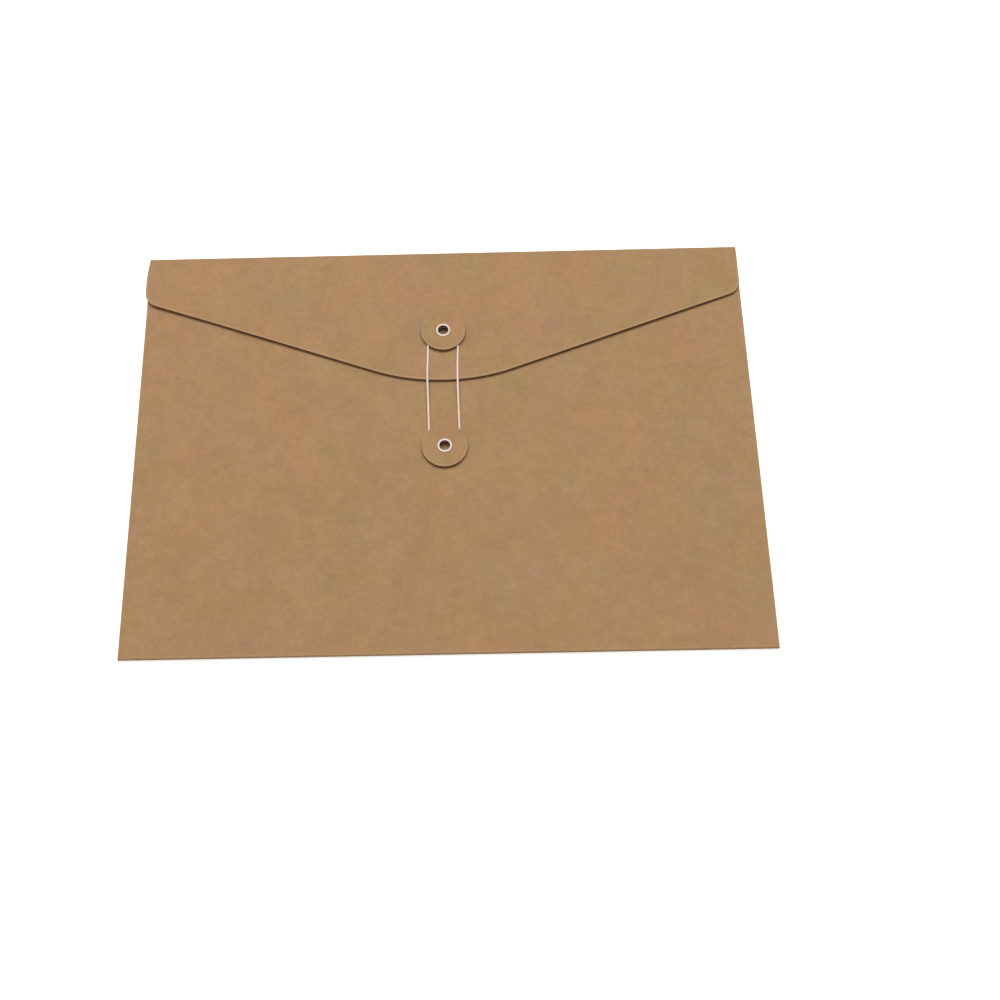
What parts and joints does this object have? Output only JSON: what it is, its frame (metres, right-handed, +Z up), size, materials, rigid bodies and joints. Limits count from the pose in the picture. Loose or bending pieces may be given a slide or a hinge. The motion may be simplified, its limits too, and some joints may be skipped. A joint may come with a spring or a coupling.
{
  "type": "string tie envelope",
  "caption": "Flat kraft board document envelope with a pointed fold-over flap, held shut by a string wound round turning card buttons on eyelets.",
  "frame": {"origin": "middle of the back panel's outer face, on the table it lies on", "axes": "+X along the flap fold to the right, +Y from the bottom fold to the flap fold, +Z up off the table"},
  "size_m": [0.324, 0.229, 0.0057],
  "materials": {
    "kraft_board": "uncoated brown kraft board, matt, with fine fibres and specks",
    "button_board": "uncoated brown kraft board, punched, matt",
    "spacer_board": "thick brown board, punched, matt",
    "eyelet_nickel": "nickel plated, bright",
    "washer_steel": "bright plated steel",
    "dried_glue": "dried white paper glue",
    "cotton_string": "white twisted cotton"
  },
  "bodies": {
    "pocket": {"back_panel": "kraft_board", "front_panel": "kraft_board", "bottom_fold": "kraft_board", "right_side_fold": "kraft_board", "left_side_fold": "kraft_board", "right_glue_tab": "kraft_board", "left_glue_tab": "kraft_board", "right_glue_film": "dried_glue", "left_glue_film": "dried_glue", "pocket_button_spacer": "spacer_board", "pocket_eyelet": "eyelet_nickel", "pocket_eyelet_washer": "washer_steel", "tie_string": "cotton_string"},
    "spine": {"spine_strip": "kraft_board"},
    "flap": {"flap_panel": "kraft_board", "flap_button_spacer": "spacer_board", "flap_eyelet": "eyelet_nickel", "flap_eyelet_washer": "washer_steel"},
    "flap_button": {"flap_button_disc": "button_board"},
    "pocket_button": {"pocket_button_disc": "button_board"}
  },
  "joints": [
    {"name": "spine_fold", "type": "hinge", "parent": "pocket", "child": "spine", "pos_m": [0, 0.11425, 0.00025], "axis": [-1, 0, 0], "range_deg": [0, 88.5], "deforming": ["tie_string"]},
    {"name": "flap_fold", "type": "hinge", "parent": "spine", "child": "flap", "pos_m": [0, 0.11425, 0.0033], "axis": [-1, 0, 0], "range_deg": [0, 88.5]},
    {"name": "flap_button_turn", "type": "hinge", "parent": "flap", "child": "flap_button", "pos_m": [0, 0.06475, 0.00495], "axis": [0, 0, 1], "continuous": true},
    {"name": "pocket_button_turn", "type": "hinge", "parent": "pocket", "child": "pocket_button", "pos_m": [0, -0.0028, 0.0033], "axis": [0, 0, 1], "continuous": true}
  ],
  "couplings": [
    {"joint": "flap_fold", "follows": "spine_fold", "ratio": 1}
  ]
}
